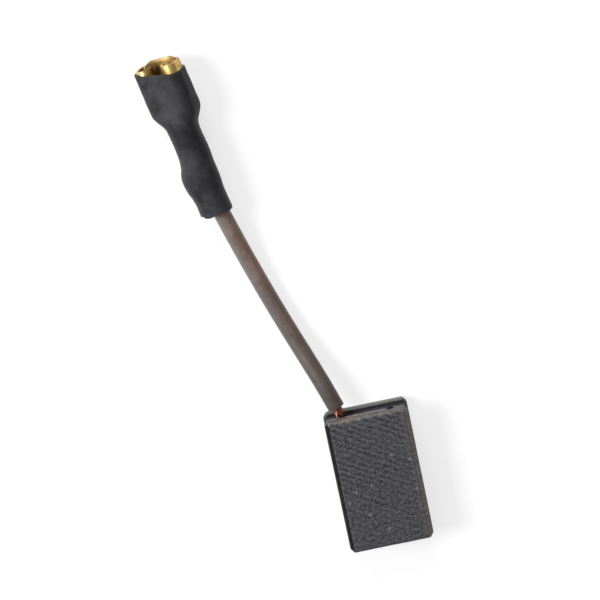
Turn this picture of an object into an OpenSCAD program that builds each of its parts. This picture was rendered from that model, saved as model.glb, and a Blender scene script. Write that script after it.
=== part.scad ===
// Carbon brush for a small motor, with its insulated lead and push-on receptacle.
// Millimetres. The block lies on one wide face, on z = 0, centred on x = 0, y = 0.
// +X is the width of the block, +Y runs from the contact face to the grooved end,
// +Z is the thickness. The lead leaves the grooved end and lies on the same table.

/* [Shown] */
// sub-part to show on its own, or all

/* [Carbon block] */
// width of the block, along X
block_width = 10; // [8:0.1:12]
// thickness of the block, along Z
block_thickness = 5; // [4:0.1:6.5]
// length from the contact face to the grooved end
block_length = 16.5; // [12:0.1:22]
// flat cut along the four long edges
edge_chamfer = 0.6; // [0.2:0.05:1]
// flat cut along the edges of both ends that run across the block
end_chamfer = 0.35; // [0.1:0.05:0.8]
// flat cut at the four short edges, which run through the thickness
corner_chamfer = 0.5; // [0.1:0.05:0.8]
// width of the spring groove across the end
groove_width = 2; // [1.6:0.1:3]
// depth of the spring groove
groove_depth = 1.5; // [0.8:0.1:2.5]
// radius where the groove floor meets its walls
groove_corner = 0.3; // [0.1:0.05:0.7]
// place of the small chip in the groove's upper lip, from the middle
chip_place = 2.9; // [0:0.1:4]
// radius of the chip
chip_radius = 0.5; // [0.2:0.05:0.8]

/* [Shunt] */
// distance of the shunt from the middle of the block
shunt_offset = 2.6; // [1:0.1:3.5]
// diameter of the stranded copper shunt
shunt_diameter = 1.1; // [0.8:0.05:1.4]
// diameter of the hole drilled in the groove floor
hole_diameter = 1.8; // [1.5:0.1:2.2]
// depth of that hole, before its drill point
hole_depth = 4.2; // [3:0.1:6]

/* [Lead] */
// outside diameter of the lead insulation
insulation_diameter = 2; // [1.6:0.05:2.4]
// bore of the insulation round the copper
insulation_bore = 1.2; // [1.15:0.05:1.4]

/* [Receptacle] */
// width over the two rolled wings
receptacle_width = 5.4; // [5.4:0.05:5.9]
// height from the base plate to the top of the wings
receptacle_height = 2.4; // [2.2:0.05:2.6]
// thickness of the brass sheet
sheet = 0.3; // [0.25:0.05:0.4]
// outside radius of a rolled wing
wing_roll = 1; // [0.8:0.05:1.05]
// outside radius of the bend from the base plate to the wing
base_bend = 0.6; // [0.4:0.05:0.7]
// length of the rolled mouth
mouth_length = 5.4; // [5:0.1:6.5]
// how far the wings stand out of the boot
mouth_out = 0.8; // [0.4:0.1:1.2]
// how far the base plate reaches past the wings
tongue_out = 0.4; // [0.1:0.1:0.6]
// thickness of the flat tab this mouth takes
tab_thickness = 0.8; // [0.5:0.1:1]
// length of the crimp on the copper
wire_crimp_length = 2.8; // [2:0.1:3.5]
// length of the crimp on the insulation
insulation_crimp_length = 3.2; // [2:0.1:4]

/* [Boot] */
// length of the boot
boot_length = 18; // [17:0.5:20]
// wall of the boot
boot_wall = 0.25; // [0.2:0.05:0.3]
// half the width of the boot at its mouth
boot_mouth_half = 3.02; // [3.02:0.02:3.4]
// half the height of the boot at its mouth
boot_height_half = 1.65; // [1.6:0.05:2]
// radius of the boot at its waist, below the receptacle's mouth
boot_waist_radius = 1.88; // [1.86:0.02:2.1]
// radius of the boot at its bulge, over the end of the insulation crimp
boot_bulge_radius = 2.24; // [2.1:0.02:2.4]
// radius of the boot at its cut lower end
boot_end_radius = 1.92; // [1.85:0.02:2.1]

/* [Lie] */
// mouth of the boot, from the middle of the block
mouth_at = [-15.05, 53, 2.52];
// turn of the terminal to the left of +Y
terminal_turn = 10; // [0:1:20]
// roll of the terminal about its own axis, right side up
terminal_roll = 28; // [0:1:32]

/* [Hidden] */
$fn = 64;
fit = 0.01;          // rammed and drawn fits
grip = 0.02;         // a crimp round what it holds
cut = 1;             // how far a cutting tool overshoots
tube_sides = 8;
drill_tip = 0.1;     // radius of the blunt end of the drill point
below_shunt = 0.2;   // powder between the end of the shunt and the bottom of its hole

end_y = block_length / 2;
floor_y = end_y - groove_depth;
mid_z = block_thickness / 2;

half_width = receptacle_width / 2;
base_z = -receptacle_height / 2;
front_y = mouth_out;
neck_y = front_y - mouth_length;
neck_length = 2.3;   // from the mouth to the crimp on the copper
crimp_gap = 1.4;     // between the two crimps
wire_crimp_y = neck_y - neck_length;
wire_crimp_end = wire_crimp_y - wire_crimp_length;
insulation_crimp_y = wire_crimp_end - crimp_gap;
insulation_crimp_end = insulation_crimp_y - insulation_crimp_length;
wire_bore = shunt_diameter / 2 + grip;
jacket_bore = insulation_diameter / 2 + grip;
wire_z = base_z + sheet + wire_bore + grip;
jacket_z = base_z + sheet + jacket_bore + grip;
strip_half = 0.6;    // half the width of the strip under the two crimps
neck_half = 1;       // half the width of the neck at its waist, and at its end
neck_end_half = 0.9;
neck_taper = 1.3;    // length over which the base plate narrows to the neck
neck_edge = 0.9;     // height of the neck's raised edges, and their width at the mouth
neck_edge_width = 0.35;
neck_end = wire_crimp_y - 0.3;
lobe_side = 0.42;    // middle of each lobe of the copper crimp, to the side and up
lobe_up = 0.3;
lobe_radius = 0.48;
lobe_seam = 0.06;    // where the two lobes meet
wrap_seam = 0.24;    // where the ends of the insulation crimp meet
wire_side = shunt_diameter / 2 + 0.1;   // inner face of the raised edges beside the copper
dimple_y = neck_y + mouth_length / 2;
dimple_radius = 1.05;
dimple_sink = 0.5;   // how far the dimple's centre lies below the base plate

// The lead as it lies: out of the groove, down to the table, up into the boot.
// Points inside the terminal come from the terminal's own axis.
hole_route = [[-shunt_offset, floor_y - hole_depth + below_shunt, mid_z],
              [-shunt_offset, floor_y - 2, mid_z],
              [-shunt_offset, floor_y + 0.2, mid_z],
              [-2.8, 8.1, 2.5]];
table_route = [[-3.2, 9.2, 2.5], [-4.2, 12.3, 2.25], [-5.4, 15.6, 1.7], [-6.65, 19, 1.2],
               [-7.85, 22.5, 1.02], [-9, 26.1, 1.02], [-10, 29.5, 1.3],
               [-10.9, 32.8, 1.8], [-11.7, 35.8, 2.28]];
jacket_route = [at_terminal([0, insulation_crimp_end - 0.2, jacket_z]),
                at_terminal([0, insulation_crimp_y + 0.3, jacket_z])];
crimp_route = [at_terminal([0, insulation_crimp_y + 0.5, jacket_z]),
               at_terminal([0, wire_crimp_end - 0.1, wire_z]),
               at_terminal([0, wire_crimp_y + 0.3, wire_z])];
lead = concat(hole_route, table_route, jacket_route, crimp_route);
jacket_from = len(hole_route);
jacket_to = jacket_from + len(table_route) + len(jacket_route) - 1;

// boot sections from the mouth down: place, half width, half height, sideways shift,
// squareness, and how far the left side lies ahead of the middle for each mm across,
// because both ends are cut a little aslant
wide = boot_mouth_half - 0.01;
tall = boot_height_half;
waist = boot_waist_radius;
bulge = boot_bulge_radius;
shoulder = mouth_length - mouth_out + 0.1;   // where the boot draws in behind the mouth
boot_end = boot_length - 0.23;               // middle of the aslant lower end
boot_sections = [[-0.1, boot_mouth_half, tall, 0, 3.2, 0.15],
                 [0.5, wide, tall, 0, 3.2, 0.13],
                 [1.8, wide, tall, 0, 3.2, 0.06],
                 [3.2, wide, tall, 0, 3.2, 0],
                 [shoulder, wide, tall, 0, 3.2, 0],
                 [shoulder + 0.6, 2.8, 1.68, 0.08, 3, 0],
                 [shoulder + 1.2, 2.48, 1.75, 0.18, 2.6, 0],
                 [shoulder + 1.7, 2.18, 1.8, 0.18, 2.3, 0],
                 [shoulder + 2.4, waist, 1.85, 0.1, 2, 0],
                 [shoulder + 3.2, waist - 0.06, 1.84, 0.05, 2, 0],
                 [9.5, waist, waist - 0.02, 0.12, 2, 0],
                 [11, waist + 0.03, waist, 0.06, 2, 0],
                 [12.3, 2.14, 1.9, -0.18, 2, 0],
                 [13.5, bulge, 1.94, -0.26, 2, 0],
                 [14.6, 2.1, 1.94, -0.25, 2, 0],
                 [15.7, 1.9, 1.93, -0.15, 2, 0],
                 [16.7, 1.86, 1.9, -0.09, 2, 0],
                 [boot_end, boot_end_radius, boot_end_radius - 0.02, -0.05, 2, 0.12]];
lower_squareness = 2.2;   // how much squarer the boot is under the base plate than over the rolls
boot_sides = 32;

function unit(v) = v / norm(v);
function turn_y(p, a) = [p[0] * cos(a) + p[2] * sin(a), p[1], p[2] * cos(a) - p[0] * sin(a)];
function turn_z(p, a) = [p[0] * cos(a) - p[1] * sin(a), p[0] * sin(a) + p[1] * cos(a), p[2]];
function at_terminal(p) = mouth_at + turn_z(turn_y(p, -terminal_roll), terminal_turn);

// one ring of a tube round a route, square to the route at that point
function heading(path, i) =
    let (a = path[max(i - 1, 0)], b = path[min(i + 1, len(path) - 1)]) unit(b - a);
function ring(path, i, radius) =
    let (t = heading(path, i), side = unit(cross(t, [0, 0, 1])), up = cross(side, t))
    [for (k = [0 : tube_sides - 1])
        let (a = 360 * (k + 0.5) / tube_sides)
        path[i] + radius * (side * cos(a) + up * sin(a))];

// one ring of the boot: a squared oval, squarer below
function squared(c, power) = sign(c) * pow(abs(c), 2 / power);
function boot_ring(s, wall) =
    [for (k = [0 : boot_sides - 1])
        let (a = 360 * k / boot_sides)
        let (power = a > 180 ? 2 + (s[4] - 2) * lower_squareness : s[4])
        let (x = s[3] + (s[1] - wall) * squared(cos(a), power))
        [x, -s[0] - x * s[5], (s[2] - wall) * squared(sin(a), power)]];

// faces of a solid made of closed rings of n points, in order, with both ends closed
function ring_sides(rings, n) =
    [for (r = [0 : rings - 2]) for (k = [0 : n - 1])
        let (j = (k + 1) % n) [r * n + k, r * n + j, (r + 1) * n + j, (r + 1) * n + k]];
function flipped(faces) = [for (f = faces) [for (k = [len(f) - 1 : -1 : 0]) f[k]]];
function triangles(quads) = [for (q = quads) each [[q[0], q[1], q[2]], [q[0], q[2], q[3]]]];

// a solid rod of closed rings
module rod(rings) {
    n = len(rings[0]);
    last = (len(rings) - 1) * n;
    polyhedron(points = [for (r = rings) each r],
               faces = concat(triangles(ring_sides(len(rings), n)),
                              [[for (k = [n - 1 : -1 : 0]) k]],
                              [[for (k = [0 : n - 1]) last + k]]));
}

// a hollow sleeve: rings of the outside, then rings of the inside
module sleeve(outer, inner) {
    n = len(outer[0]);
    m = len(outer);
    skin = triangles(ring_sides(m, n));
    base = m * n;
    last = (m - 1) * n;
    lining = [for (f = flipped(skin)) [for (k = f) k + base]];
    near = [for (k = [0 : n - 1]) let (j = (k + 1) % n) [k, base + k, base + j, j]];
    far = [for (k = [0 : n - 1]) let (j = (k + 1) % n)
              [last + j, base + last + j, base + last + k, last + k]];
    polyhedron(points = concat([for (r = outer) each r], [for (r = inner) each r]),
               faces = concat(skin, lining, triangles(near), triangles(far)));
}

// a bar along Z with its four long edges cut flat
module cut_bar(x, y, z, c) {
    linear_extrude(z, center = true)
        polygon([[-x / 2 + c, -y / 2], [x / 2 - c, -y / 2], [x / 2, -y / 2 + c],
                 [x / 2, y / 2 - c], [x / 2 - c, y / 2], [-x / 2 + c, y / 2],
                 [-x / 2, y / 2 - c], [-x / 2, -y / 2 + c]]);
}

// groove across the end, with a rounded floor
module groove() {
    r = groove_corner;
    long = block_width + 2 * cut;
    translate([-long / 2, floor_y + r, mid_z - groove_width / 2])
        cube([long, groove_depth - r + cut, groove_width]);
    translate([-long / 2, floor_y, mid_z - groove_width / 2 + r])
        cube([long, groove_depth, groove_width - 2 * r]);
    for (s = [-1, 1])
        translate([-long / 2, floor_y + r, mid_z + s * (groove_width / 2 - r)])
            rotate([0, 90, 0]) cylinder(h = long, r = r);
}

// drilled hole with its drill point, along Y from the groove floor
module drilled(radius, top) {
    point = (radius - drill_tip) * tan(31);
    translate([-shunt_offset, top, mid_z]) rotate([90, 0, 0])
        cylinder(h = top - floor_y + hole_depth, r = radius);
    translate([-shunt_offset, floor_y - hole_depth, mid_z]) rotate([90, 0, 0])
        cylinder(h = point, r1 = radius, r2 = drill_tip);
}

module carbon_block() {
    color([0.30, 0.29, 0.31])
    difference() {
        translate([0, 0, mid_z])
            intersection() {
                cut_bar(block_width, block_length, block_thickness, corner_chamfer);
                rotate([90, 0, 0])
                    cut_bar(block_width, block_thickness, block_length, edge_chamfer);
                rotate([0, 90, 0])
                    cut_bar(block_thickness, block_length, block_width, end_chamfer);
            }
        groove();
        drilled(hole_diameter / 2, floor_y + 0.1);
        translate([chip_place, end_y, mid_z + groove_width / 2]) rotate([-45, 0, 0])
            sphere(r = chip_radius);
    }
}

module tamped_plug() {
    color([0.62, 0.42, 0.34])
    difference() {
        drilled(hole_diameter / 2 - fit, floor_y);
        translate([-shunt_offset, floor_y + cut, mid_z]) rotate([90, 0, 0])
            cylinder(h = hole_depth - below_shunt + fit + cut, r = shunt_diameter / 2 + fit);
    }
}

module copper_shunt() {
    color([0.80, 0.42, 0.26])
    rod([for (i = [0 : len(lead) - 1]) ring(lead, i, shunt_diameter / 2)]);
}

module lead_insulation() {
    color([0.46, 0.42, 0.40])
    sleeve([for (i = [jacket_from : jacket_to]) ring(lead, i, insulation_diameter / 2)],
           [for (i = [jacket_from : jacket_to]) ring(lead, i, insulation_bore / 2)]);
}

// one rolled wing, seen from the front: bend, wall, roll and the lip on the tab
module wing_shape() {
    top = base_z + receptacle_height - wing_roll;
    translate([half_width - base_bend, base_z + base_bend])
        intersection() {
            difference() { circle(r = base_bend); circle(r = base_bend - sheet); }
            translate([0, -base_bend]) square([base_bend, base_bend]);
        }
    translate([half_width - sheet, base_z + base_bend])
        square([sheet, receptacle_height - base_bend - wing_roll]);
    translate([half_width - wing_roll, top])
        intersection() {
            difference() { circle(r = wing_roll); circle(r = wing_roll - sheet); }
            translate([-wing_roll, 0]) square([2 * wing_roll, wing_roll]);
        }
    translate([half_width - 2 * wing_roll, base_z + sheet + tab_thickness])
        square([sheet, top - base_z - sheet - tab_thickness]);
}

// crimp rolled into two lobes over the copper
module wire_crimp() {
    outer = wire_bore + sheet;
    difference() {
        union() {
            intersection() {
                circle(r = outer);
                translate([-outer, -outer]) square([2 * outer, outer + lobe_up]);
            }
            for (s = [-1, 1]) translate([s * lobe_side, lobe_up]) circle(r = lobe_radius);
        }
        circle(r = wire_bore);
        translate([-lobe_seam / 2, 0]) square([lobe_seam, outer + cut]);
    }
}

// crimp wrapped round the insulation, its two ends meeting on top
module insulation_crimp() {
    difference() {
        circle(r = jacket_bore + sheet);
        circle(r = jacket_bore);
        translate([-wrap_seam / 2, 0]) square([wrap_seam, 2 * jacket_bore]);
    }
}

// ball for the dimple, its poles turned out of the way
module dimple_ball(radius) {
    translate([0, dimple_y, base_z - dimple_sink]) rotate([90, 0, 0]) sphere(r = radius);
}

module receptacle_terminal() {
    bed = half_width - base_bend;
    color([0.82, 0.66, 0.32])
    translate(mouth_at) rotate([0, 0, terminal_turn]) rotate([0, -terminal_roll, 0])
    difference() {
        union() {
            // the two wings and the base plate between them
            translate([0, front_y, 0]) rotate([90, 0, 0])
                linear_extrude(mouth_length) {
                    wing_shape();
                    mirror([1, 0]) wing_shape();
                }
            translate([0, 0, base_z]) linear_extrude(sheet)
                polygon([[-bed, front_y], [-bed / 2, front_y + tongue_out],
                         [bed / 2, front_y + tongue_out], [bed, front_y],
                         [bed, neck_y], [neck_half, neck_y - neck_taper],
                         [neck_end_half, neck_end], [strip_half, neck_end],
                         [strip_half, insulation_crimp_end], [-strip_half, insulation_crimp_end],
                         [-strip_half, neck_end], [-neck_end_half, neck_end],
                         [-neck_half, neck_y - neck_taper], [-bed, neck_y]]);
            // raised edges of the neck
            for (s = [-1, 1]) scale([s, 1, 1])
                translate([0, 0, base_z]) linear_extrude(neck_edge)
                    polygon([[bed, neck_y], [neck_half, neck_y - neck_taper],
                             [neck_end_half, neck_end], [wire_side, neck_end],
                             [neck_half - sheet, neck_y - neck_taper - 0.1],
                             [bed - neck_edge_width, neck_y]]);
            // spring dimple that catches the hole of the tab
            intersection() {
                dimple_ball(dimple_radius);
                translate([-1, dimple_y - 1, base_z]) cube([2, 2, 1]);
            }
            translate([0, wire_crimp_y, wire_z]) rotate([90, 0, 0])
                linear_extrude(wire_crimp_length) wire_crimp();
            translate([0, insulation_crimp_y, jacket_z]) rotate([90, 0, 0])
                linear_extrude(insulation_crimp_length) insulation_crimp();
        }
        dimple_ball(dimple_radius - sheet);
    }
}

module heat_shrink_boot() {
    color([0.27, 0.26, 0.28])
    translate(mouth_at) rotate([0, 0, terminal_turn]) rotate([0, -terminal_roll, 0])
        sleeve([for (s = boot_sections) boot_ring(s, 0)],
               [for (s = boot_sections) boot_ring(s, boot_wall)]);
}

carbon_block();
tamped_plug();
copper_shunt();
lead_insulation();
receptacle_terminal();
heat_shrink_boot();
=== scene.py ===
"""A small carbon motor brush, lying on its wide face, with its insulated lead, push-on
receptacle and shrunk boot. Pieces are modelled in millimetres in the row frame, or on the
receptacle's own axis, and settled into place in metres when they are done."""

import math

import bpy
from mathutils import Matrix, Vector
from mathutils.kdtree import KDTree


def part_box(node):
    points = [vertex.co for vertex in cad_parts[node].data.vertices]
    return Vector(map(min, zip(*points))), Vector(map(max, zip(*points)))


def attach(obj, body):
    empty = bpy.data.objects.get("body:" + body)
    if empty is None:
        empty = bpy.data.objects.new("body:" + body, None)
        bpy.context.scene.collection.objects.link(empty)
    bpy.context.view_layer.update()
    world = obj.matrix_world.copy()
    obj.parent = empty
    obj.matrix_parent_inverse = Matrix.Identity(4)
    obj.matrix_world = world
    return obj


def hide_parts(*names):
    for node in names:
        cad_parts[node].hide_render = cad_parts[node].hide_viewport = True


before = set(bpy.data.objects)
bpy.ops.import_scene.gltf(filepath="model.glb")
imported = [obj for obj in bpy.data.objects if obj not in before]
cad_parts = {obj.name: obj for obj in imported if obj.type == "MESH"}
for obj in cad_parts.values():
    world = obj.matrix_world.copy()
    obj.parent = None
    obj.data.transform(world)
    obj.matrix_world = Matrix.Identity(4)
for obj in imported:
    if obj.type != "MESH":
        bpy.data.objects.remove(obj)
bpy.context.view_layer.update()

MM = 0.001

# carbon block, as it lies
BLOCK_LOW, BLOCK_HIGH = (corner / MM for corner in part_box("carbon_block"))
BLOCK_SIZE = BLOCK_HIGH - BLOCK_LOW
BLOCK_MIDDLE = (BLOCK_HIGH + BLOCK_LOW) / 2
END_Y = BLOCK_HIGH.y
MID_Z = BLOCK_MIDDLE.z
LONG_CHAMFER = 0.6
END_CHAMFER = 0.35
CORNER_CHAMFER = 0.5
GROOVE_WIDTH = 2.0
GROOVE_DEPTH = 1.5
GROOVE_CORNER = 0.3
FLOOR_Y = END_Y - GROOVE_DEPTH
LIP_Z = MID_Z + GROOVE_WIDTH / 2
LIP_ROUNDING = 0.13
HOLE_RADIUS = 0.9
HOLE_DEPTH = 4.2
SHUNT_X = -2.6
CHIP_X = 2.9
CHIP_RADIUS = 0.5
GRINDING_PITCH = 0.66
GRINDING_ANGLE = math.radians(31)
BLOCK_VOXEL = 0.088
PLUG_VOXEL = 0.07
# depths from which a point no longer counts as on a face, or on a cut edge
FACE_SKIN = (0.05, 0.14)
CUT_SKIN = (0.1, 0.25)

# lead: the insulation's outside and its bore, and the stranded copper
JACKET_RADIUS = 1.0
JACKET_BORE = 0.6
COPPER_RADIUS = 0.55
CORE_RADIUS = 0.495  # the copper's plain core, where the insulation hides it
INTO_CRIMP = 4.0     # how far the core runs on past the insulation
CLEARANCE = 0.02     # round what a crimp or the hole holds

# the copper's single wires: seven bunches of seven, each twisted round its middle
BUNCH_REACH = 0.37
BUNCH_TURNS = 0.75
WIRE_RADIUS = 0.064
WIRE_REACH = 0.116
WIRE_TURNS = 2.2
# routes of the conductor and of two stray wires, from where they leave the groove's floor
SHUNT_ROUTE = [(0, -1.0, 0), (0, -0.3, 0), (-0.06, 0.5, 0), (-0.2, 1.35, 0)]
LOOSE_WIRE = [(-0.45, -0.2, 0.35), (-0.72, 0.7, 0.62), (-0.78, 1.5, 0.6), (-0.62, 2.4, 0.3)]
SNAPPED_WIRE = [(0.45, -0.2, 0.3), (0.62, 0.5, 0.5), (0.85, 1.05, 0.55)]

# receptacle, on its own axis: +Y out of the mouth, +Z over the rolled wings
SHEET = 0.3
HALF_WIDTH = 2.7
HEIGHT = 2.4
ROLL = 1.0
BEND = 0.6
MOUTH_OUT = 0.8
MOUTH_LENGTH = 5.4
TAB = 0.8
TONGUE = 0.4
TONGUE_TAPER = 0.6
NECK_LENGTH = 2.3    # from the mouth to the crimp on the copper
NECK_TAPER = 1.3     # over which the base plate narrows, and how far it then stays so
NECK_STRAIGHT = 1.7
NECK_HALF = 0.85
NECK_EDGE_STEPS = (0.45, 0.3)
STRIP_HALF = 0.6     # half the strip's width at the crimp on the insulation
CRIMP_BED = 0.05     # half the flat under each crimp
WIRE_CRIMP = 2.8
JACKET_CRIMP = 3.2
CRIMP_GAP = 1.4
DIMPLE = ((0.0, 0.62, 0.22), (0.62, 0.95, 0.09))   # inner and outer radius, rise
SHEET_ROUNDING = 0.045
DRAWING_ANGLE = math.radians(80)
NEAR = 0.01          # how near a point counts as on a plane

# where the receptacle and its boot lie
MOUTH_AT = (-15.05, 53, 2.52)
TURN = math.radians(10)
RIGHT_SIDE_UP = math.radians(28)

# the lead's route over the table, in metres, from the cut end of the insulation to the crimp
LEAD_ROUTE = [
    (-0.0032, 0.0092, 0.0025), (-0.0042, 0.0123, 0.00225), (-0.0054, 0.0156, 0.0017),
    (-0.00665, 0.0190, 0.0012), (-0.00785, 0.0225, 0.00102), (-0.0090, 0.0261, 0.00102),
    (-0.0100, 0.0295, 0.0013), (-0.0109, 0.0328, 0.0018), (-0.0117, 0.0358, 0.00228),
    (-0.0126, 0.03871, 0.00264), (-0.01324, 0.04235, 0.00264),
]


# ---------------------------------------------------------------- modelling helpers

def nothing_selected():
    if bpy.context.object and bpy.context.object.mode != "OBJECT":
        bpy.ops.object.mode_set(mode="OBJECT")
    bpy.ops.object.select_all(action="DESELECT")


def only(piece):
    nothing_selected()
    piece.select_set(True)
    bpy.context.view_layer.objects.active = piece


def named(name):
    piece = bpy.context.object
    piece.name = piece.data.name = name
    return piece


def applied(piece):
    only(piece)
    bpy.ops.object.transform_apply(location=True, rotation=True, scale=True)
    return piece


def box(name, size, middle):
    nothing_selected()
    bpy.ops.mesh.primitive_cube_add(size=1, location=middle, scale=size)
    return applied(named(name))


def plate(name, width, length, middle):
    nothing_selected()
    bpy.ops.mesh.primitive_plane_add(size=1, location=middle)
    piece = named(name)
    piece.scale = (width, length, 1)
    return applied(piece)


def rod(name, radius, length, middle, sides=48):
    """A round bar along Y."""
    nothing_selected()
    bpy.ops.mesh.primitive_cylinder_add(vertices=sides, radius=radius, depth=length,
                                        location=middle, rotation=(math.pi / 2, 0, 0))
    return applied(named(name))


def pick(piece, kind, test):
    """Enter edit mode with only the vertices, edges or faces that pass selected. The test gets
    a vertex's place, an edge's two ends, or a face's middle and normal."""
    only(piece)
    mesh = piece.data
    bpy.ops.object.mode_set(mode="EDIT")
    bpy.ops.mesh.select_mode(type=kind)
    bpy.ops.mesh.select_all(action="DESELECT")
    bpy.ops.object.mode_set(mode="OBJECT")
    if kind == "VERT":
        for vertex in mesh.vertices:
            vertex.select = test(vertex.co)
    elif kind == "EDGE":
        for edge in mesh.edges:
            edge.select = test(*(mesh.vertices[v].co for v in edge.vertices))
    else:
        for face in mesh.polygons:
            face.select = test(face.center, face.normal)
    bpy.ops.object.mode_set(mode="EDIT")


def done_editing():
    bpy.ops.object.mode_set(mode="OBJECT")


def modify(piece, kind, **settings):
    """Add one modifier, set it and apply it."""
    only(piece)
    modifier = piece.modifiers.new(kind.lower(), kind)
    for key, value in settings.items():
        setattr(modifier, key, value)
    bpy.ops.object.modifier_apply(modifier=modifier.name)
    return piece


def cut(piece, tool, operation="DIFFERENCE"):
    """Cut a piece with a tool, which is then removed."""
    modify(piece, "BOOLEAN", object=tool, operation=operation, solver="EXACT")
    bpy.data.objects.remove(tool)


def extrude(x, y, z):
    """Extrude what is selected, and move it that far."""
    bpy.ops.mesh.extrude_region_move(TRANSFORM_OT_translate={"value": (x, y, z)})


def clouds(name, size, depth=2, contrast=1.0):
    texture = bpy.data.textures.new(name, "CLOUDS")
    texture.noise_scale = size
    texture.noise_depth = depth
    texture.contrast = contrast
    return texture


def roughen(piece, texture, strength):
    modify(piece, "DISPLACE", texture=texture, strength=strength, mid_level=0.5)


def joined(pieces, name):
    nothing_selected()
    for piece in pieces:
        piece.select_set(True)
    bpy.context.view_layer.objects.active = pieces[0]
    bpy.ops.object.join()
    return named(name)


def outward(piece):
    """Weld the points that meet and turn all normals out."""
    only(piece)
    bpy.ops.object.mode_set(mode="EDIT")
    bpy.ops.mesh.select_all(action="SELECT")
    bpy.ops.mesh.remove_doubles(threshold=0.0005)
    bpy.ops.mesh.normals_make_consistent(inside=False)
    done_editing()


def settle(piece, on_receptacle=False, sharp=35):
    """Millimetres to metres, and from the receptacle's axis to where it lies; edges sharper
    than that many degrees stay sharp."""
    piece.scale = (MM, MM, MM)
    if on_receptacle:
        piece.location = Vector(MOUTH_AT) * MM
        piece.rotation_euler = (0, -RIGHT_SIDE_UP, TURN)
    applied(piece)
    bpy.ops.object.shade_smooth_by_angle(angle=math.radians(sharp))
    return piece


def dress(piece, material, node):
    """Give a piece its material, hang it under the root body, and hide the imported node of the
    part it stands for.
    """
    piece.data.materials.clear()
    piece.data.materials.append(material)
    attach(piece, "root")
    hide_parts(node)


# ---------------------------------------------------------------- camera

def make_camera():
    azimuth, elevation, lean = (math.radians(a) for a in (3.9, 73.1, 12.0))
    aim, distance = Vector((-0.0048, 0.0222, 0)), 0.496
    back = Vector((math.sin(azimuth) * math.cos(elevation),
                   math.cos(azimuth) * math.cos(elevation), math.sin(elevation)))
    side = Vector((0, 1, 0)).cross(back).normalized()
    top = back.cross(side)
    right = side * math.cos(lean) - top * math.sin(lean)
    up = side * math.sin(lean) + top * math.cos(lean)
    bpy.ops.object.camera_add()
    camera = bpy.context.object
    camera.name = "camera"
    camera.matrix_world = (Matrix.Translation(aim + back * distance)
                           @ Matrix((right, up, back)).transposed().to_4x4())
    camera.data.sensor_width = 36
    camera.data.lens = 255
    camera.data.clip_start = 0.01
    camera.data.clip_end = 20
    bpy.context.scene.camera = camera


# ---------------------------------------------------------------- the lead

def smooth_line(points, steps):
    """Points on one smooth curve through all the given ones."""
    points = [Vector(p) for p in points]
    line = []
    for i in range(len(points) - 1):
        a, b = points[i], points[i + 1]
        before = points[i - 1] if i else a * 2 - b
        after = points[i + 2] if i + 2 < len(points) else b * 2 - a
        for k in range(steps):
            t = k / steps
            line.append(0.5 * (2 * a + (b - before) * t
                               + (2 * before - 5 * a + 4 * b - after) * t * t
                               + (3 * a - before - 3 * b + after) * t * t * t))
    return line + [points[-1]]


def tube(name, line, radius, sides):
    """A mesh tube along a line, made from a bevelled curve."""
    curve = bpy.data.curves.new(name, "CURVE")
    curve.dimensions = "3D"
    curve.bevel_depth = radius
    curve.bevel_resolution = sides // 4
    curve.use_fill_caps = False
    spline = curve.splines.new("POLY")
    spline.points.add(len(line) - 1)
    for point, place in zip(spline.points, line):
        point.co = (*place, 1)
    piece = bpy.data.objects.new(name, curve)
    bpy.context.scene.collection.objects.link(piece)
    only(piece)
    bpy.ops.object.convert(target="MESH")
    return bpy.context.object


def straighten(piece, line):
    """Give each point of a piece along a line its place as if the line were straight."""
    line = [p / MM for p in line]
    run = [0.0]
    for a, b in zip(line, line[1:]):
        run.append(run[-1] + (b - a).length)
    spots = KDTree(len(line))
    for i, place in enumerate(line):
        spots.insert(place, i)
    spots.balance()
    layer = piece.data.attributes.new("straightened", "FLOAT_VECTOR", "POINT")
    for vertex in piece.data.vertices:
        place = vertex.co / MM
        i = spots.find(place)[1]
        along = (line[min(i + 1, len(line) - 1)] - line[max(i - 1, 0)]).normalized()
        side = along.cross(Vector((0, 0, 1))).normalized()
        off = place - line[i]
        layer.data[vertex.index].vector = (run[i] + off.dot(along), off.dot(side),
                                           off.dot(side.cross(along)))


def make_insulation(line):
    piece = tube("insulation", [p / MM for p in line], JACKET_RADIUS, sides=32)
    outward(piece)
    modify(piece, "SOLIDIFY", thickness=JACKET_RADIUS - JACKET_BORE, offset=-1, use_rim=True)
    modify(piece, "BEVEL", width=0.05, segments=2, limit_method="ANGLE",
           angle_limit=math.radians(60))
    settle(piece)
    straighten(piece, line)
    return piece


def around(line, radius, turns, start, flare):
    """A helix round a line; flare widens it towards the line's first point."""
    made = []
    last = len(line) - 1
    for i, place in enumerate(line):
        along = (line[min(i + 1, last)] - line[max(i - 1, 0)]).normalized()
        side = along.cross(Vector((0, 0, 1))).normalized()
        up = side.cross(along)
        angle = start + 2 * math.pi * turns * i / last
        reach = radius * (1 + flare * (1 - i / last) ** 2)
        made.append(place + reach * (side * math.cos(angle) + up * math.sin(angle)))
    return made


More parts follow.
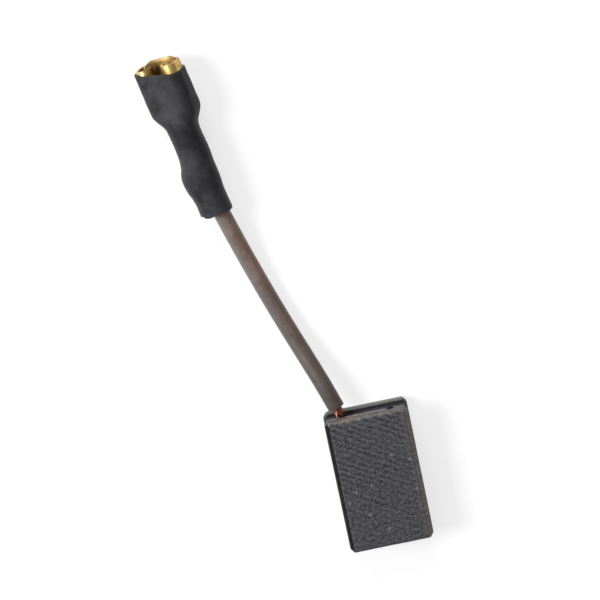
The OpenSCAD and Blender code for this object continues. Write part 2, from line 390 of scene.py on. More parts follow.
def make_strands(line):
    """Bare stranded copper at the block, then a plain core through the insulation to the crimp."""
    route, loose, snapped = (
        [Vector((SHUNT_X + x, FLOOR_Y + y, MID_Z + z)) for x, y, z in steps]
        for steps in (SHUNT_ROUTE, LOOSE_WIRE, SNAPPED_WIRE))
    conductor = smooth_line(route + [line[0] / MM, line[4] / MM, line[8] / MM], steps=12)
    wires = []
    for b in range(7):
        bunch = around(conductor, BUNCH_REACH if b else 0, BUNCH_TURNS, b * math.pi / 3,
                       flare=0.15)
        for w in range(7):
            wires.append(around(bunch, WIRE_REACH if w else 0, WIRE_TURNS + 0.1 * b,
                                w * math.pi / 3 + b, flare=0.2))
    wires += [smooth_line(loose, steps=10), smooth_line(snapped, steps=10)]
    pieces = [tube("wire", wire, WIRE_RADIUS, sides=8) for wire in wires]
    core = [p / MM for p in line[6:]]
    core.append(core[-1] + (core[-1] - core[-2]).normalized() * INTO_CRIMP)
    pieces.append(tube("core", core, CORE_RADIUS, sides=16))
    strands = joined(pieces, "copper_strands")
    only(strands)
    bpy.ops.object.mode_set(mode="EDIT")
    bpy.ops.mesh.select_all(action="DESELECT")
    bpy.ops.mesh.select_non_manifold()
    bpy.ops.mesh.edge_face_add()
    done_editing()
    return settle(strands)


# ---------------------------------------------------------------- carbon block

def make_block():
    block = box("ground_block", BLOCK_SIZE, BLOCK_MIDDLE)
    # the three sets of edges are cut to three widths, one bar for each, and the bars are crossed
    for axis, width in ((0, END_CHAMFER), (1, LONG_CHAMFER), (2, CORNER_CHAMFER)):
        bar = box("bar", BLOCK_SIZE, BLOCK_MIDDLE)
        pick(bar, "EDGE", lambda a, b: abs(a[axis] - b[axis]) > 1)
        bpy.ops.mesh.bevel(offset=width, segments=1, affect="EDGES")
        done_editing()
        cut(block, bar, "INTERSECT")

    groove = box("groove", (BLOCK_SIZE.x + 4, 2 * GROOVE_DEPTH, GROOVE_WIDTH),
                 (0, END_Y, MID_Z))
    pick(groove, "EDGE", lambda a, b: a.y < END_Y and b.y < END_Y and abs(a.x - b.x) > 1)
    bpy.ops.mesh.bevel(offset=GROOVE_CORNER, segments=5, affect="EDGES")
    done_editing()
    cut(block, groove)
    cut(block, rod("hole", HOLE_RADIUS, 2 * HOLE_DEPTH, (SHUNT_X, FLOOR_Y, MID_Z)))

    # a small crumbled chip in the groove's upper lip
    nothing_selected()
    bpy.ops.mesh.primitive_ico_sphere_add(subdivisions=4, radius=CHIP_RADIUS,
                                          location=(CHIP_X, END_Y + 0.08, LIP_Z + 0.02))
    chip = named("chip")
    chip.scale = (1.0, 1.0, 1.15)
    applied(chip)
    roughen(chip, clouds("crumble", size=0.3, depth=3, contrast=1.5), strength=0.25)
    cut(block, chip)

    # the lips of the groove, burnished round
    pick(block, "EDGE", lambda a, b: min(a.y, b.y) > END_Y - 0.05
         and all(abs(abs(p.z - MID_Z) - GROOVE_WIDTH / 2) < 2 * NEAR for p in (a, b)))
    bpy.ops.mesh.bevel(offset=LIP_ROUNDING, segments=3, affect="EDGES")
    done_editing()

    modify(block, "REMESH", mode="VOXEL", voxel_size=BLOCK_VOXEL, adaptivity=0)
    modify(block, "SMOOTH", factor=0.5, iterations=3)
    roughen(block, clouds("grain", size=0.22, depth=4, contrast=1.6), strength=0.022)
    roughen(block, clouds("unevenness", size=2.2, depth=1), strength=0.03)
    return settle(block, sharp=180)


def make_plug():
    """Tamped copper powder, a little crumbly where it meets the groove floor."""
    plug = rod("tamped_copper", HOLE_RADIUS - CLEARANCE, HOLE_DEPTH - 0.2,
               (SHUNT_X, FLOOR_Y - HOLE_DEPTH / 2 + 0.08, MID_Z), sides=64)
    for _ in range(4):
        pick(plug, "FACE", lambda c, n: n.y > 0.9
             and (c - Vector((SHUNT_X, c.y, MID_Z))).length < 0.1)
        bpy.ops.mesh.inset(thickness=0.2, depth=0.015)
        done_editing()
    modify(plug, "REMESH", mode="VOXEL", voxel_size=PLUG_VOXEL, adaptivity=0)
    roughen(plug, clouds("powder", size=0.16, depth=3, contrast=1.6), strength=0.09)
    return settle(plug, sharp=180)


# ---------------------------------------------------------------- receptacle

def folded(name, flat, length, front, base_z, *folds):
    """A sheet folded up on both sides from a flat strip, of that half width, on the base plate.
    Each fold is a straight stretch, then a bend of that radius through that many degrees. The
    sheet runs back from the front."""
    half = plate(name, flat, length, (flat / 2, front - length / 2, base_z))
    pick(half, "EDGE", lambda a, b: min(a.x, b.x) > flat - NEAR)
    x, z, heading = flat, base_z, 0.0
    for straight, radius, angle in folds:
        if straight:
            step = Vector((math.cos(heading), 0, math.sin(heading))) * straight
            extrude(*step)
            x, z = x + step.x, z + step.z
        if angle:
            centre = (x - radius * math.sin(heading), 0, z + radius * math.cos(heading))
            bpy.ops.mesh.spin(steps=max(4, round(angle / 10)), angle=math.radians(angle),
                              center=centre, axis=(0, 1, 0))
            heading += math.radians(angle)
            x, z = (centre[0] + radius * math.sin(heading),
                    centre[2] - radius * math.cos(heading))
    done_editing()
    return modify(half, "MIRROR", use_axis=(True, False, False), merge_threshold=0.001)


def make_receptacle():
    mid = SHEET / 2
    base_z = -HEIGHT / 2 + mid
    bed = HALF_WIDTH - BEND
    neck_y = MOUTH_OUT - MOUTH_LENGTH
    crimp_y = neck_y - NECK_LENGTH
    grip_y = crimp_y - WIRE_CRIMP - CRIMP_GAP

    # base plate, bends, walls, rolls and the lips that press on the tab
    mouth = folded("mouth", bed, MOUTH_LENGTH, MOUTH_OUT, base_z,
                   (0, BEND - mid, 90), (HEIGHT - BEND - ROLL, ROLL - mid, 180),
                   (HEIGHT - ROLL - SHEET - TAB, 0, 0))

    # the tongue runs out past the wings; the neck and the strip are drawn back to the crimps
    pick(mouth, "EDGE", lambda a, b: min(a.y, b.y) > MOUTH_OUT - NEAR
         and max(a.z, b.z) < base_z + NEAR)
    extrude(0, TONGUE, 0)
    bpy.ops.transform.resize(value=(TONGUE_TAPER, 1, 1), center_override=(0, 0, base_z))
    done_editing()
    pick(mouth, "EDGE", lambda a, b: max(a.y, b.y) < neck_y + NEAR
         and max(a.z, b.z) < base_z + NEAR)
    strip_length = neck_y - (NECK_TAPER + NECK_STRAIGHT) - grip_y
    for length, narrower in ((NECK_TAPER, NECK_HALF / bed), (NECK_STRAIGHT, 1),
                             (strip_length, STRIP_HALF / NECK_HALF)):
        extrude(0, -length, 0)
        bpy.ops.transform.resize(value=(narrower, 1, 1), center_override=(0, 0, base_z))
    done_editing()

    # raised edges of the neck
    pick(mouth, "EDGE", lambda a, b: abs(a.y - b.y) > 1 and min(a.y, b.y) > crimp_y - 1.2
         and max(a.y, b.y) < neck_y + NEAR and min(abs(a.x), abs(b.x)) > 0.5)
    for step in NECK_EDGE_STEPS:
        extrude(0, 0, step)
    done_editing()

    # a wrap of two lobes over the copper, and a round one over the insulation
    wire_wrap = folded("wire_wrap", CRIMP_BED, WIRE_CRIMP, crimp_y, base_z,
                       (0, COPPER_RADIUS + CLEARANCE + mid, 118), (0, 0.33, 150), (0.12, 0, 0))
    jacket_wrap = folded("jacket_wrap", CRIMP_BED, JACKET_CRIMP, grip_y, base_z,
                         (0, JACKET_RADIUS + CLEARANCE + mid, 170))
    piece = joined([mouth, wire_wrap, jacket_wrap], "brass_receptacle")
    outward(piece)
    modify(piece, "SOLIDIFY", thickness=SHEET, offset=0, use_rim=True, use_even_offset=True)

    # pressed dimple in the base plate, which catches the hole of the tab
    dimple_y = neck_y + MOUTH_LENGTH / 2
    pick(piece, "FACE", lambda c, n: abs(c.x) < bed and c.z < base_z + SHEET and abs(n.z) > 0.9
         and neck_y < c.y < MOUTH_OUT)
    bpy.ops.mesh.subdivide(number_cuts=14)
    done_editing()
    for inner, outer, rise in DIMPLE:
        pick(piece, "VERT", lambda v: v.z < base_z + SHEET and abs(v.x) < bed
             and inner <= math.hypot(v.x, v.y - dimple_y) < outer)
        bpy.ops.transform.translate(value=(0, 0, rise))
        done_editing()

    modify(piece, "BEVEL", width=SHEET_ROUNDING, segments=2, limit_method="ANGLE",
           angle_limit=math.radians(50))
    return settle(piece, on_receptacle=True)


# ---------------------------------------------------------------- boot

# down the boot from its mouth: place, half width, half height, sideways shift, and how much
# of the squared oval's shape the ring loses there to a round one
BOOT_SECTIONS = [
    (0.0, 2.98, 1.63, 0, 0), (0.6, 2.97, 1.63, 0, 0), (1.8, 2.96, 1.62, 0, 0),
    (3.4, 2.95, 1.62, 0.02, 0), (4.4, 2.95, 1.62, 0.03, 0), (4.95, 2.91, 1.63, 0.06, 0),
    (5.4, 2.76, 1.66, 0.1, 0.1), (5.9, 2.48, 1.74, 0.18, 0.4), (6.4, 2.16, 1.8, 0.18, 0.7),
    (7.1, 1.88, 1.84, 0.1, 1), (7.9, 1.81, 1.84, 0.05, 0), (8.8, 1.84, 1.86, 0.09, 0),
    (10.2, 1.88, 1.86, 0.12, 0), (11.0, 1.90, 1.87, 0.08, 0), (11.7, 1.99, 1.88, -0.04, 0),
    (12.3, 2.17, 1.9, -0.2, 0), (13.0, 2.27, 1.93, -0.29, 0), (13.9, 2.29, 1.94, -0.29, 0),
    (14.7, 2.12, 1.93, -0.28, 0), (15.6, 1.90, 1.93, -0.16, 0), (16.7, 1.86, 1.9, -0.09, 0),
    (17.77, 1.92, 1.9, -0.06, 0),
]
BOOT_WALL = 0.25
# corner radii of the mouth's oval, rounder over the rolled wings than under the base plate
BOOT_UPPER, BOOT_LOWER = 1.4, 1.0
BOOT_END = BOOT_SECTIONS[-1][0]
# the rings that follow the slanting cuts of the two ends: place, degrees, and how far out
BOOT_SLANTS = ((0.0, 9, 0.12), (0.6, 8, 0.1), (1.8, 4, 0.05), (BOOT_END, 7, 0))
# bumps left by a blunt blade on the lower end: angle round the boot, spread, and how far out
BOOT_BUMPS = ((103, 12, 0.22), (128, 11, -0.12), (162, 16, 0.22), (250, 24, 0.15),
              (40, 20, -0.1))


def make_boot():
    first = BOOT_SECTIONS[0]
    boot = plate("shrunk_boot", 2 * first[1], 2 * first[2], (0, 0, 0))
    for radius, side in ((BOOT_UPPER, 1), (BOOT_LOWER, -1)):
        pick(boot, "VERT", lambda v: v.y * side > first[2] - NEAR)
        bpy.ops.mesh.bevel(offset=radius, segments=9, affect="VERTICES")
        done_editing()
    pick(boot, "FACE", lambda c, n: True)
    bpy.ops.mesh.delete(type="ONLY_FACE")
    done_editing()
    boot.rotation_euler.x = math.pi / 2
    applied(boot)
    pick(boot, "EDGE", lambda a, b: (a - b).length > 0.6)
    bpy.ops.mesh.subdivide(number_cuts=5)
    bpy.ops.mesh.select_all(action="SELECT")
    before = first
    for section in BOOT_SECTIONS[1:]:
        place, half_width, half_height, shift, roundness = section
        extrude(shift - before[3], before[0] - place, 0)
        if roundness:
            bpy.ops.transform.tosphere(value=roundness)
        bpy.ops.object.mode_set(mode="OBJECT")
        ring = [v.co for v in boot.data.vertices if v.select]
        reach_x = max(abs(v.x - shift) for v in ring)
        reach_z = max(abs(v.z) for v in ring)
        bpy.ops.object.mode_set(mode="EDIT")
        bpy.ops.transform.resize(value=(half_width / reach_x, 1, half_height / reach_z),
                                 center_override=(shift, -place, 0))
        before = section
    done_editing()

    for place, angle, out in BOOT_SLANTS:
        pick(boot, "VERT", lambda v: abs(v.y + place) < NEAR)
        bpy.ops.transform.rotate(value=math.radians(angle), orient_axis="Z",
                                 center_override=(0, -place, 0))
        bpy.ops.transform.translate(value=(0, out, 0))
        done_editing()
    for angle, spread, out in BOOT_BUMPS:
        pick(boot, "VERT", lambda v: abs(v.y + BOOT_END) < 0.4
             and abs((math.degrees(math.atan2(v.z, v.x)) - angle + 180) % 360 - 180) < spread)
        bpy.ops.transform.translate(value=(0, -out, 0))
        done_editing()

    # a firm corner on the left, where the sleeve draws in behind the receptacle's mouth
    pick(boot, "EDGE", lambda a, b: abs(a.y - b.y) < NEAR and -5.0 < a.y < -4.9
         and max(a.x, b.x) < -1)
    bpy.ops.transform.edge_crease(value=0.7)
    done_editing()

    outward(boot)
    modify(boot, "SOLIDIFY", thickness=BOOT_WALL, offset=-1, use_rim=True,
           edge_crease_inner=0.8, edge_crease_outer=0.8)
    modify(boot, "SUBSURF", levels=2, render_levels=2)
    roughen(boot, clouds("shrink_waves", size=1.6, depth=2), strength=0.1)
    roughen(boot, clouds("fine_waves", size=0.5, depth=2), strength=0.025)
    return settle(boot, on_receptacle=True, sharp=60)


# ---------------------------------------------------------------- colours

# linear values; a pair is the darkest and the lightest of one surface
GRAPHITE = (0.003, 0.003, 0.004), (0.094, 0.091, 0.102)
GRAPHITE_HAZE = (0.070, 0.068, 0.076)
NARROW_FACE = (0.125, 0.124, 0.132)
# the right long cut: wear painted lighter as lit, and painted light on the wide face beside it
LIT_WORN_CUT = (0.105, 0.095, 0.083), (0.225, 0.207, 0.180)
PAINTED_LIGHT_BESIDE_CUT = (0.165, 0.152, 0.135)
# painted shade on the left long cut
SHADED_CUT = (0.010, 0.010, 0.010), (0.024, 0.024, 0.024)
# the grooved end, painted lighter as lit
LIT_END = (0.064, 0.057, 0.050), (0.137, 0.125, 0.108)
LOWER_BAND = (0.21, 0.215, 0.19)
# painted shade inside the groove, and painted sheen on its rubbed wall
GROOVE_SHADE = (0.016, 0.016, 0.018)
RUBBED_WALL_SHEEN = (0.085, 0.088, 0.10)
BEHIND_LIP = (0.055, 0.052, 0.052)
# painted highlight on the lip's burnished edge
LIP_HIGHLIGHT = (0.36, 0.36, 0.36)
CRUMBS = (0.012, 0.011, 0.012)
# painted glints
GLINT_SPECKS = (0.28, 0.28, 0.30)
DARK_PITS = (0.008, 0.008, 0.009)
COPPER_STAIN = (0.30, 0.16, 0.13)

TAMPED_POWDER = (0.16, 0.07, 0.045), (0.55, 0.25, 0.15)
DULL_COPPER, BRIGHT_COPPER = (0.26, 0.09, 0.05), (0.60, 0.26, 0.15)
# painted shade where the copper goes into the groove
COPPER_SHADE = (0.05, 0.02, 0.025)

INSULATION = (0.118, 0.076, 0.060), (0.205, 0.154, 0.132)
DRAWN_STREAKS = (0.27, 0.22, 0.19)
POWDERY_SPOTS = (0.36, 0.31, 0.28)
# painted sheen on the lead's left flank, and painted shade on its right flank
LEFT_FLANK_SHEEN = (0.160, 0.150, 0.146)
RIGHT_FLANK_SHADE = (0.200, 0.108, 0.080)
# painted shade on the lead near the block
LEAD_SHADE = (0.040, 0.034, 0.032)

DULL_BRASS, BRIGHT_BRASS = (0.46, 0.29, 0.09), (0.80, 0.61, 0.25)
# darker places of the brass, painted shade inside and brown patches on the edges: middle in the
# row frame, inner and outer radius, share, colour
BRASS_SHADE_AND_BROWN = (
    # the inside is painted shade
    ((-15.9, 53.2, 1.7), 0.6, 2.0, 0.85, (0.10, 0.05, 0.02)),    # inside
    ((-12.7, 53.7, 2.4), 0.4, 1.5, 0.8, (0.34, 0.16, 0.08)),     # along the right edge
    ((-17.1, 54.3, 2.9), 0.4, 1.2, 0.8, (0.24, 0.10, 0.05)),     # on the left roll's rim
)

SLEEVE = (0.0145, 0.0138, 0.0165), (0.043, 0.041, 0.047)
SLEEVE_DUST = (0.10, 0.098, 0.105)
# painted shade on the sleeve's right flank
SLEEVE_SHADE = (0.0085, 0.0075, 0.0085)

WHITE = (1, 1, 1, 1)
PAPER = (0.97, 0.97, 0.97, 1)
DULL_PAPER = (0.30, 0.30, 0.30, 1)


# ---------------------------------------------------------------- materials

def new_material(name):
    material = bpy.data.materials.new(name)
    material.use_nodes = True
    tree = material.node_tree
    return material, tree, tree.nodes["Principled BSDF"]


def add(tree, kind, **settings):
    node = tree.nodes.new(kind)
    for key, value in settings.items():
        setattr(node, key, value)
    return node


def give(tree, socket, value):
    """Link an input to an output, or set it to a plain value."""
    if isinstance(value, bpy.types.NodeSocket):
        tree.links.new(value, socket)
    else:
        socket.default_value = value


def feed(tree, node, **values):
    """Give a node's inputs by name, with _ for each space in a name."""
    for key, value in values.items():
        give(tree, node.inputs[key.replace("_", " ")], value)
    return node


def millimetres(tree, turn=(0, 0, 0)):
    """Object coordinates in millimetres, turned."""
    place = add(tree, "ShaderNodeTexCoord").outputs["Object"]
    mapping = add(tree, "ShaderNodeMapping", vector_type="POINT")
    feed(tree, mapping, Vector=place, Rotation=turn, Scale=(1 / MM, 1 / MM, 1 / MM))
    return mapping.outputs[0]


def separate(tree, vector):
    """The X, Y and Z of a vector."""
    return feed(tree, add(tree, "ShaderNodeSeparateXYZ"), Vector=vector).outputs


def math_node(tree, operation, first, *others):
    """One operation on sockets or numbers, from the left where there are more than two."""
    for other in others or (0.0,):
        node = add(tree, "ShaderNodeMath", operation=operation)
        give(tree, node.inputs[0], first)
        give(tree, node.inputs[1], other)
        first = node.outputs[0]
    return first


def times(tree, first, *others):
    return math_node(tree, "MULTIPLY", first, *others) if others else first


def away(tree, value, middle):
    """How far a value is from the middle, on either side."""
    return math_node(tree, "ABSOLUTE", math_node(tree, "SUBTRACT", value, middle))


def remap(tree, value, low, high, to_low=0.0, to_high=1.0, smooth=True):
    node = add(tree, "ShaderNodeMapRange",
               interpolation_type="SMOOTHSTEP" if smooth else "LINEAR")
    feed(tree, node, Value=value, From_Min=low, From_Max=high, To_Min=to_low, To_Max=to_high)
    return node.outputs[0]


def under(tree, value, full, none):
    """1 where the value is under full, fading to 0 where it reaches none."""
    return remap(tree, value, full, none, 1.0, 0.0)


def mix(tree, factor, a, b):
    node = add(tree, "ShaderNodeMix", data_type="RGBA")
    for index, value in ((0, factor), (6, a), (7, b)):
        give(tree, node.inputs[index], (*value, 1) if isinstance(value, tuple) else value)
    return node.outputs[2]


def coat(tree, tone, colour, *masks):
    """A colour laid over the tone, as strongly as the product of the masks and shares."""
    return mix(tree, times(tree, *masks), tone, colour)


def bump(tree, height, distance_mm, strength):
    node = feed(tree, add(tree, "ShaderNodeBump"), Height=height, Strength=strength,
                Distance=distance_mm * MM)
    return node.outputs[0]


def new_group(name, **numbers):
    """A group from a vector and some numbers, given with their usual values, to one mask."""
    group = bpy.data.node_groups.new(name, "ShaderNodeTree")
    sockets = group.interface
    sockets.new_socket(name="Vector", in_out="INPUT", socket_type="NodeSocketVector")
    for label, value in numbers.items():
        socket = sockets.new_socket(name=label, in_out="INPUT", socket_type="NodeSocketFloat")
        socket.default_value = value
    sockets.new_socket(name="Mask", in_out="OUTPUT", socket_type="NodeSocketFloat")
    return group, group.nodes.new("NodeGroupInput"), group.nodes.new("NodeGroupOutput")


def make_mottle_group():
    """Two sizes of soft noise as one mask, for powdery, shrunk and extruded surfaces."""
    group, source, result = new_group("mottle", Coarse=1.0, Fine=6.0, Share=0.5)
    blend = add(group, "ShaderNodeMix", data_type="FLOAT")
    give(group, blend.inputs[0], source.outputs["Share"])
    for index, size, detail in ((2, "Coarse", 3.0), (3, "Fine", 2.0)):
        noise = add(group, "ShaderNodeTexNoise")
        feed(group, noise, Vector=source.outputs["Vector"], Scale=source.outputs[size],
             Detail=detail)
        give(group, blend.inputs[index], noise.outputs[0])
    give(group, result.inputs["Mask"], blend.outputs[0])
    return group


def mottle(tree, vector, coarse, fine, share):
    node = add(tree, "ShaderNodeGroup", node_tree=MOTTLE)
    feed(tree, node, Vector=vector, Coarse=coarse, Fine=fine, Share=share)
    return node.outputs[0]


def make_scratch_group():
    """Thin lines along the X of the coordinates given, from a stretched noise."""
    group, source, result = new_group("scratches", Spacing=0.3, Length=3.0)
    stretched = add(group, "ShaderNodeCombineXYZ")
    for socket, value, size in zip(stretched.inputs, separate(group, source.outputs["Vector"]),
                                   ("Length", "Spacing", "Spacing")):
        give(group, socket, math_node(group, "DIVIDE", value, source.outputs[size]))
    noise = add(group, "ShaderNodeTexNoise")
    feed(group, noise, Vector=stretched.outputs[0], Scale=1.0, Detail=3.0, Roughness=0.6)
    give(group, result.inputs["Mask"], noise.outputs[0])
    return group


def scratches(tree, vector, spacing, length):
    node = add(tree, "ShaderNodeGroup", node_tree=SCRATCHES)
    feed(tree, node, Vector=vector, Spacing=spacing, Length=length)
    return node.outputs[0]


def ball_mask(tree, place, centre, inner, outer):
    """1 inside a ball round a point of the row frame, fading to 0; sizes in millimetres."""
    apart = add(tree, "ShaderNodeVectorMath", operation="DISTANCE")
    give(tree, apart.inputs[0], place)
    give(tree, apart.inputs[1], centre)
    return under(tree, apart.outputs["Value"], inner, outer)


def specks(tree, place, per_mm, share, size):
    """Round specks: a few of the cells of a Voronoi pattern, each with a small disc."""
    cells = add(tree, "ShaderNodeTexVoronoi", feature="F1")
    feed(tree, cells, Vector=place, Scale=per_mm, Randomness=1.0)
    tint = feed(tree, add(tree, "ShaderNodeSeparateColor"), Color=cells.outputs["Color"])
    chosen = math_node(tree, "LESS_THAN", tint.outputs[0], share)
    return times(tree, chosen, under(tree, cells.outputs["Distance"], size * 0.5, size))


def make_carbon():
    material, tree, shader = new_material("ground_graphite")
    place = millimetres(tree)
    x, y, z = separate(tree, place)

    # depth of each point under the three pairs of faces, the faces, and the cuts between them
    depth_x, depth_y, depth_z = (
        math_node(tree, "SUBTRACT", size / 2, away(tree, value, middle))
        for value, size, middle in zip((x, y, z), BLOCK_SIZE, BLOCK_MIDDLE))
    narrow, ends, wide = (under(tree, depth, *FACE_SKIN) for depth in (depth_x, depth_y, depth_z))
    off_flats = math_node(tree, "SUBTRACT", 1.0, math_node(tree, "MAXIMUM", wide, narrow, ends))
    long_cut, end_cut = (
        times(tree, off_flats, under(tree, math_node(tree, "ADD", depth, depth_z),
                                     *(chamfer + skin for skin in CUT_SKIN)))
        for depth, chamfer in ((depth_x, LONG_CHAMFER), (depth_y, END_CHAMFER)))
    right = remap(tree, x, 0.0, 1.0)
    # the left long cut, painted dark as shade, and given a metallic, smoother finish
    shaded_left_cut = times(tree, long_cut, math_node(tree, "SUBTRACT", 1.0, right))
    top = times(tree, math_node(tree, "MAXIMUM", ends, end_cut), remap(tree, y, 0.0, 1.0))

    # inside of the groove, and the burnished edge of its upper lip, where a highlight is painted
    in_groove = times(tree,
                      under(tree, away(tree, z, MID_Z),
                            GROOVE_WIDTH / 2 + 0.02, GROOVE_WIDTH / 2 + 0.1),
                      remap(tree, y, FLOOR_Y - 0.1, FLOOR_Y))
    at_end = remap(tree, y, END_Y - 0.2, END_Y - 0.1)
    lip_highlight, behind_lip = (times(tree, at_end, under(tree, away(tree, z, LIP_Z + up), 0.15, 0.32))
                       for up in (0.15, 0.62))
    lip_highlight = times(tree, lip_highlight, remap(tree, scratches(tree, place, spacing=0.6, length=1.1), 0.40, 0.5))

    # pressed grain, ground in broken diagonal lines that fade towards the contact end
    grain = mottle(tree, place, coarse=2.6, fine=6.0, share=0.6)
    diagonal = separate(tree, millimetres(tree, turn=(0, 0, GRINDING_ANGLE)))[1]
    turns = math_node(tree, "ADD", math_node(tree, "DIVIDE", diagonal, GRINDING_PITCH),
                      times(tree, mottle(tree, place, coarse=0.6, fine=1.6, share=0.4), 1.3))
    wave = math_node(tree, "SINE", times(tree, turns, 2 * math.pi))
    broken = remap(tree, mottle(tree, place, coarse=2.2, fine=4.0, share=0.5), 0.4, 0.6, 0.1, 1.0)
    streaky = times(tree, wide, remap(tree, y, -8.0, 5.0, 0.03, 0.085))
    faces = math_node(tree, "ADD", grain, times(tree, wave, broken, streaky))
    faces = mix(tree, times(tree, narrow, 0.75), faces,
                scratches(tree, place, spacing=0.16, length=1.6))
    level = remap(tree, faces, 0.34, 0.68)
    tone = mix(tree, level, *GRAPHITE)
    haze = remap(tree, mottle(tree, place, coarse=0.28, fine=1.1, share=0.5), 0.35, 0.65)
    tone = coat(tree, tone, GRAPHITE_HAZE, haze, 0.2)
    tone = coat(tree, tone, NARROW_FACE, narrow, 0.35)

    # warm grey wear on the right long cut, painted lighter as lit, and painted light beside it
    lit_worn_cut = mix(tree, level, *LIT_WORN_CUT)
    tone = coat(tree, tone, lit_worn_cut, long_cut, right)
    light_beside_cut = remap(tree, depth_x, LONG_CHAMFER, LONG_CHAMFER + 0.6, 0.22, 0.0)
    tone = coat(tree, tone, PAINTED_LIGHT_BESIDE_CUT, wide, right, light_beside_cut)
    # painted shade: the left long cut dark
    shade_on_cut = mix(tree, level, *SHADED_CUT)
    tone = coat(tree, tone, shade_on_cut, shaded_left_cut)

    # the grooved end is painted lighter, as lit, and its lower band is paler
    lit_end = mix(tree, level, *LIT_END)
    tone = coat(tree, tone, lit_end, top, 0.8)
    tone = coat(tree, tone, LOWER_BAND, top, remap(tree, z, 0.6, 1.5, 0.8, 0.0))

    # painted shade inside the groove, and painted sheen on the strip of its wall that the spring's
    # foot has rubbed
    tone = coat(tree, tone, GROOVE_SHADE, in_groove, 0.85)
    rubbed_sheen = times(tree, under(tree, y, END_Y - 0.6, END_Y - 0.35),
                   remap(tree, y, END_Y - 1.1, END_Y - 0.8))
    tone = coat(tree, tone, RUBBED_WALL_SHEEN, rubbed_sheen, in_groove, 0.7)

    # the lip's burnished edge with a painted highlight, the dark line behind it, and dark crumbs
    # by the chip
    tone = coat(tree, tone, BEHIND_LIP, behind_lip, 0.45)
    tone = coat(tree, tone, LIP_HIGHLIGHT, lip_highlight, 0.85)
    crumbs = math_node(tree, "MAXIMUM",
                       ball_mask(tree, place, (CHIP_X + 0.1, END_Y, LIP_Z + 0.4),
                                 inner=0.35, outer=0.65),
                       ball_mask(tree, place, (CHIP_X + 0.1, END_Y - 0.95, LIP_Z - GROOVE_WIDTH),
                                 inner=0.3, outer=0.5))
    tone = coat(tree, tone, CRUMBS, crumbs, 0.85)

    # light specks painted as glints, most on the wide faces, dark pits, and copper powder round
    # the shunt
    tone = coat(tree, tone, GLINT_SPECKS, specks(tree, place, per_mm=1.0, share=0.13, size=0.27),
                remap(tree, wide, 0.0, 1.0, 0.06, 0.3))
    tone = coat(tree, tone, DARK_PITS, specks(tree, place, per_mm=1.3, share=0.16, size=0.2), 0.8)
    tone = coat(tree, tone, COPPER_STAIN,
                ball_mask(tree, place, (SHUNT_X + 0.5, END_Y, LIP_Z + 0.3),
                          inner=0.3, outer=1.7),
                remap(tree, mottle(tree, place, coarse=2.0, fine=9.0, share=0.5), 0.42, 0.6), 0.55)

    rough = math_node(tree, "SUBTRACT", remap(tree, level, 0.0, 1.0, 0.62, 0.48),
                      times(tree, in_groove, 0.25), times(tree, shaded_left_cut, 0.25))
    feed(tree, shader, Base_Color=tone, Roughness=rough, Specular_IOR_Level=0.3,
         Metallic=times(tree, shaded_left_cut, 0.9),
         Normal=bump(tree, level, distance_mm=0.03, strength=0.35))
    return material


def make_tamped():
    material, tree, shader = new_material("tamped_copper_powder")
    grain = mottle(tree, millimetres(tree), coarse=4.0, fine=14.0, share=0.5)
    tone = mix(tree, remap(tree, grain, 0.35, 0.65), *TAMPED_POWDER)
    feed(tree, shader, Base_Color=tone, Roughness=0.55, Metallic=0.6,
         Normal=bump(tree, grain, distance_mm=0.06, strength=0.8))
    return material


def make_copper():
    material, tree, shader = new_material("bare_copper_wire")
    place = millimetres(tree)
    film = mottle(tree, place, coarse=1.2, fine=5.0, share=0.4)
    tone = mix(tree, remap(tree, film, 0.35, 0.65), BRIGHT_COPPER, DULL_COPPER)
    # painted shade on both sides, where it goes into the block
    for side, inner, outer in ((0.5, 0.35, 0.95), (-0.5, 0.3, 0.8)):
        copper_shade = ball_mask(tree, place, (SHUNT_X + side, END_Y - 0.25, MID_Z + 0.45), inner, outer)
        tone = coat(tree, tone, COPPER_SHADE, copper_shade, 0.85)
    feed(tree, shader, Base_Color=tone, Metallic=1.0,
         Roughness=remap(tree, film, 0.3, 0.7, 0.30, 0.48),
         Normal=bump(tree, mottle(tree, place, coarse=6.0, fine=20.0, share=0.5),
                     distance_mm=0.01, strength=0.5))
    return material


def make_jacket():
    """The piece carries its straightened place, in millimetres: along, sideways and up."""
    material, tree, shader = new_material("extruded_insulation")
    place = add(tree, "ShaderNodeAttribute", attribute_name="straightened").outputs["Vector"]
    along, sideways = separate(tree, place)[:2]
    cloud = mottle(tree, place, coarse=0.45, fine=1.7, share=0.35)
    fine = mottle(tree, place, coarse=4.0, fine=9.0, share=0.5)
    draw = scratches(tree, place, spacing=0.45, length=7.0)
    tone = mix(tree, remap(tree, cloud, 0.34, 0.66), *INSULATION)
    tone = coat(tree, tone, DRAWN_STREAKS, remap(tree, draw, 0.45, 0.72), 0.35)
    tone = coat(tree, tone, POWDERY_SPOTS, remap(tree, fine, 0.58, 0.75), 0.3)
    # a grey sheen painted on the left flank, as lit, and painted shade, redder, on the right one
    uneven = math_node(tree, "ADD", sideways,
                       times(tree, math_node(tree, "SUBTRACT", cloud, 0.5), 2.0))
    tone = coat(tree, tone, LEFT_FLANK_SHEEN, remap(tree, uneven, -0.9, 0.1, 0.6, 0.0))
    tone = coat(tree, tone, RIGHT_FLANK_SHADE, remap(tree, uneven, -0.2, 0.7, 0.0, 0.5))
    # painted shade, darkest at the block and less and less towards the boot
    dust_and_shade = remap(tree, along, 0.0, 23.0, 0.9, 0.0, smooth=False)
    tone = coat(tree, tone, LEAD_SHADE, dust_and_shade)
    relief = math_node(tree, "ADD", draw, times(tree, fine, 0.3))
    feed(tree, shader, Base_Color=tone, Roughness=remap(tree, cloud, 0.3, 0.7, 0.36, 0.5),
         Normal=bump(tree, relief, distance_mm=0.03, strength=0.35))
    return material


